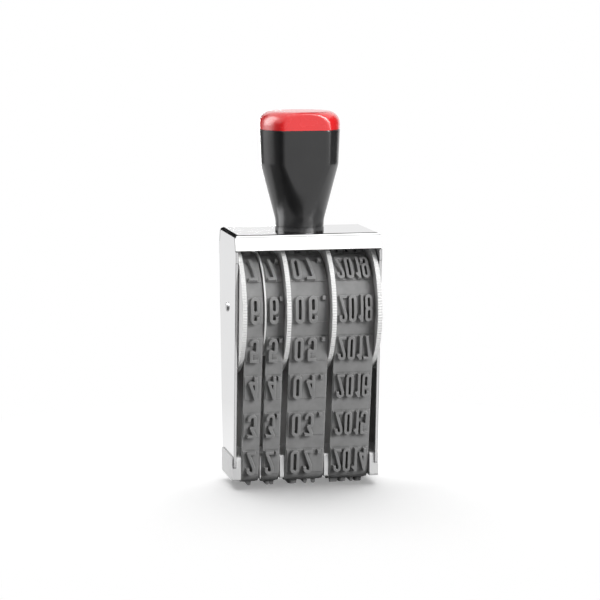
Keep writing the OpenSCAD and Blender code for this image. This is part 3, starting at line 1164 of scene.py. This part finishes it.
def flat_piece(name: str, corners: list[Point3]) -> Piece:
    """Makes one flat face of the stage.

    Args:
        name: Name of the piece.
        corners: Corners of its outline.

    Returns:
        The piece.
    """
    mesh = bpy.data.meshes.new(name)
    mesh.from_pydata(corners, [], [tuple(range(len(corners)))])
    piece = placed(name, mesh)
    return piece


def rectangle(half_w: float, half_h: float, z: float) -> list[Point3]:
    """Corners of a level rectangle round the origin."""
    return [(-half_w, -half_h, z), (half_w, -half_h, z), (half_w, half_h, z), (-half_w, half_h, z)]


def gloss_card(name: str, corners: list[Point3], tone: float, glow: float) -> Piece:
    """Makes a flat card that only glossy rays see: dark in the mouldings and pale in the bright sheet.

    Args:
        name: Name of the card.
        corners: Corners of its outline.
        tone: Its grey.
        glow: Its glow, which only the sheet sees.

    Returns:
        The card.
    """
    card = flat_piece(name, corners)
    card.visible_camera = card.visible_diffuse = card.visible_shadow = card.visible_transmission = False
    grey = (tone, tone, tone)
    Finish(f"{name}_face", grey, CARD_ROUGHNESS, specular=CARD_SPECULAR, glow=glow).dress(card)
    return card


@dataclass(frozen=True)
class Panel:
    """A lamp or card that faces the object; angles in degrees, sizes in metres."""

    name: str
    azimuth: float
    elevation: float
    distance: float
    width: float
    height: float

    def faced(self, piece: Piece, aim: Vector) -> Piece:
        """Hangs a piece in the panel's place.

        Args:
            piece: The piece.
            aim: Point that it faces.

        Returns:
            The same piece.
        """
        way = toward(self.azimuth, self.elevation)
        piece.location = aim + way * self.distance
        piece.rotation_euler = way.to_track_quat("Z", "Y").to_euler()
        return piece


@dataclass(frozen=True)
class Softbox(Panel):
    """A soft studio lamp; power in watts."""

    power: float
    lit: Lit = Lit.STAMP

    def build(self, aim: Vector) -> Piece:
        """Hangs the lamp.

        Args:
            aim: Point that it faces.

        Returns:
            The lamp.
        """
        lamp = bpy.data.lights.new(self.name, "AREA")
        lamp.shape = "RECTANGLE"
        lamp.size, lamp.size_y = self.width, self.height
        lamp.energy = self.power
        return self.faced(placed(self.name, lamp), aim)


@dataclass(frozen=True)
class Card(Panel):
    """A dark studio card that only shows in gloss."""

    glow: float = SHEET_GLOW
    lit: Lit = Lit.SHEET

    def build(self, aim: Vector) -> Piece:
        """Stands the card up, facing a point."""
        corners = rectangle(self.width / 2, self.height / 2, 0)
        return self.faced(gloss_card(self.name, corners, CARD_TONE, self.glow), aim)


@dataclass(frozen=True)
class FloorCard:
    """A dark sector just over the floor that only shows in gloss; angles in degrees, sizes in metres."""

    name: str
    first: float
    last: float
    inner: float
    outer: float
    tone: float = CARD_TONE
    glow: float = SHEET_GLOW
    height: float = 0.0004
    points: int = 13
    lit: Lit = Lit.SHEET

    def build(self, aim: Vector) -> Piece:
        """Lays the card down.

        Args:
            aim: Point that the sector goes round.

        Returns:
            The card.
        """
        angles = np.linspace(self.first, self.last, self.points)
        near = [tuple(toward(a, 0) * self.inner) for a in angles]
        far = [tuple(toward(a, 0) * self.outer) for a in reversed(angles)]
        card = gloss_card(self.name, near + far, self.tone, self.glow)
        card.location = (aim.x, aim.y, self.height)
        return card


@dataclass
class Studio:
    """Floor, white surround, soft lamps and the camera of the photograph."""

    eye: Point3 = (-0.1758, -0.8559, 0.1858)
    look: Point3 = (0.1996, 0.9708, -0.1331)
    lens: float = 142.34
    sensor: float = 36.0
    ambient: float = 0.11
    floor_half: float = 2.0
    floor_drop: float = 0.00002
    floor_grey: float = 0.9
    floor_bounce: float = 0.45
    floor_lift: float = 0.26
    floor_fade: Point2 = (0.08, 0.18)
    aim: Point3 = (0.0, 0.0, 0.07)
    lamps: tuple[Softbox, ...] = (
        Softbox("key_box", 34, 24, 0.9, 0.38, 0.4, 6.6),
        Softbox("front_panel", 14, 31, 0.95, 0.26, 0.26, 0.35),
        Softbox("left_box", -113, 26, 0.8, 0.5, 0.7, 4.6),
        Softbox("low_strip", 50, 9, 0.8, 0.12, 0.26, 0.9),
        Softbox("top_box", 20, 80, 0.9, 0.6, 0.5, 1.5),
        Softbox("back_box", 177, 0, 1.1, 0.3, 0.16, 2.0),
        Softbox("floor_wash", 172, 68, 1.0, 1.6, 1.4, 16.0, Lit.FLOOR),
    )
    cards: tuple[Card | FloorCard, ...] = (
        Card("front_left_card", -50, 4, 0.7, 1.2, 0.36),
        Card("back_left_card", -175, 10, 0.8, 0.24, 0.15, 0.0),
        Card("back_top_card", 162, 50, 0.8, 0.14, 0.64, 0.0),
        Card("right_card", 100, 12, 0.7, 0.9, 0.6),
        Card("far_left_card", -152, 16, 0.7, 0.3, 0.5),
        FloorCard("left_floor_card", -112, -74, 0.045, 0.9, 0.21),
        FloorCard("front_left_floor_card", -74, -14, 0.045, 0.9),
        FloorCard("front_floor_card", -14, 6, 0.14, 0.9),
    )

    def build_world(self) -> None:
        """Makes the white surround, which lights the object more softly than it shows."""
        world = bpy.data.worlds.new("white_surround")
        bpy.context.scene.world = world
        nodes = Nodes(world)
        dim = nodes.add("Background", {"Color": WHITE, "Strength": self.ambient}).outputs[0]
        full = nodes.add("Background", {"Color": WHITE, "Strength": 1.0}).outputs[0]
        mix = nodes.add("MixShader", {0: nodes.seen(), 1: dim, 2: full})
        nodes.add("OutputWorld", {0: mix.outputs[0]})

    def build_floor(self) -> Piece:
        """Lays the pale floor, which fades into the white surround and keeps the shadow.

        Returns:
            The floor.
        """
        floor = flat_piece("floor", rectangle(self.floor_half, self.floor_half, -self.floor_drop))
        material = bpy.data.materials.new("pale_floor")
        floor.data.materials.append(material)
        nodes = Nodes(material)
        seen = nodes.seen()
        grey = nodes.mapped(seen, target=(self.floor_bounce, self.floor_grey))
        matte = nodes.add("BsdfDiffuse", {"Color": grey}).outputs[0]
        glow = nodes.maths("MULTIPLY", seen, self.floor_lift)
        lift = nodes.add("Emission", {"Strength": glow}).outputs[0]
        near = nodes.add("AddShader", {0: matte, 1: lift}).outputs[0]
        place = nodes.add("NewGeometry").outputs["Position"]
        reach = nodes.add("VectorMath", {0: place}, operation="LENGTH").outputs["Value"]
        far = nodes.maths("MULTIPLY", nodes.mapped(reach, self.floor_fade), seen)
        white = nodes.add("Emission").outputs[0]
        mix = nodes.add("MixShader", {0: far, 1: near, 2: white})
        nodes.add("OutputMaterial", {0: mix.outputs[0]})
        return floor

    def build_receivers(self, floor: Piece) -> dict[Lit, Group]:
        """Groups what lamps and cards light.

        Args:
            floor: The floor, which most lamps leave out.

        Returns:
            Collections for their light linking.
        """
        receivers = {}
        for lit, piece, state in (
            (Lit.STAMP, floor, "EXCLUDE"),
            (Lit.FLOOR, floor, "INCLUDE"),
            (Lit.SHEET, frame["nodes"]["frame"], "INCLUDE"),
        ):
            receivers[lit] = bpy.data.collections.new(f"lit_{lit.value}")
            receivers[lit].objects.link(piece)
            receivers[lit].collection_objects[0].light_linking.link_state = state
        return receivers

    def build_camera(self) -> None:
        """Sets the camera at the photograph's viewing angle."""
        camera = bpy.data.cameras.new("camera")
        camera.lens, camera.sensor_width = self.lens, self.sensor
        holder = placed("camera", camera)
        holder.location = self.eye
        holder.rotation_euler = Vector(self.look).to_track_quat("-Z", "Y").to_euler()
        bpy.context.scene.camera = holder

    def build(self) -> None:
        """Makes the whole studio."""
        bpy.context.scene.view_settings.view_transform = "Standard"
        self.build_camera()
        self.build_world()
        receivers = self.build_receivers(self.build_floor())
        for panel in (*self.lamps, *self.cards):
            panel.build(Vector(self.aim)).light_linking.receiver_collection = receivers[panel.lit]
        LOG.info("studio: %d lamps, %d cards", len(self.lamps), len(self.cards))


def main() -> None:
    """Builds the studio, then dresses the stamp in it."""
    logging.basicConfig(level=logging.INFO, format="%(name)s %(message)s")
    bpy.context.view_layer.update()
    Studio().build()
    for group in DRESSED_GROUPS:
        group.dress(frame["nodes"])
    BandSet().build()
    Handle().build()


if __name__ == "__main__":
    main()
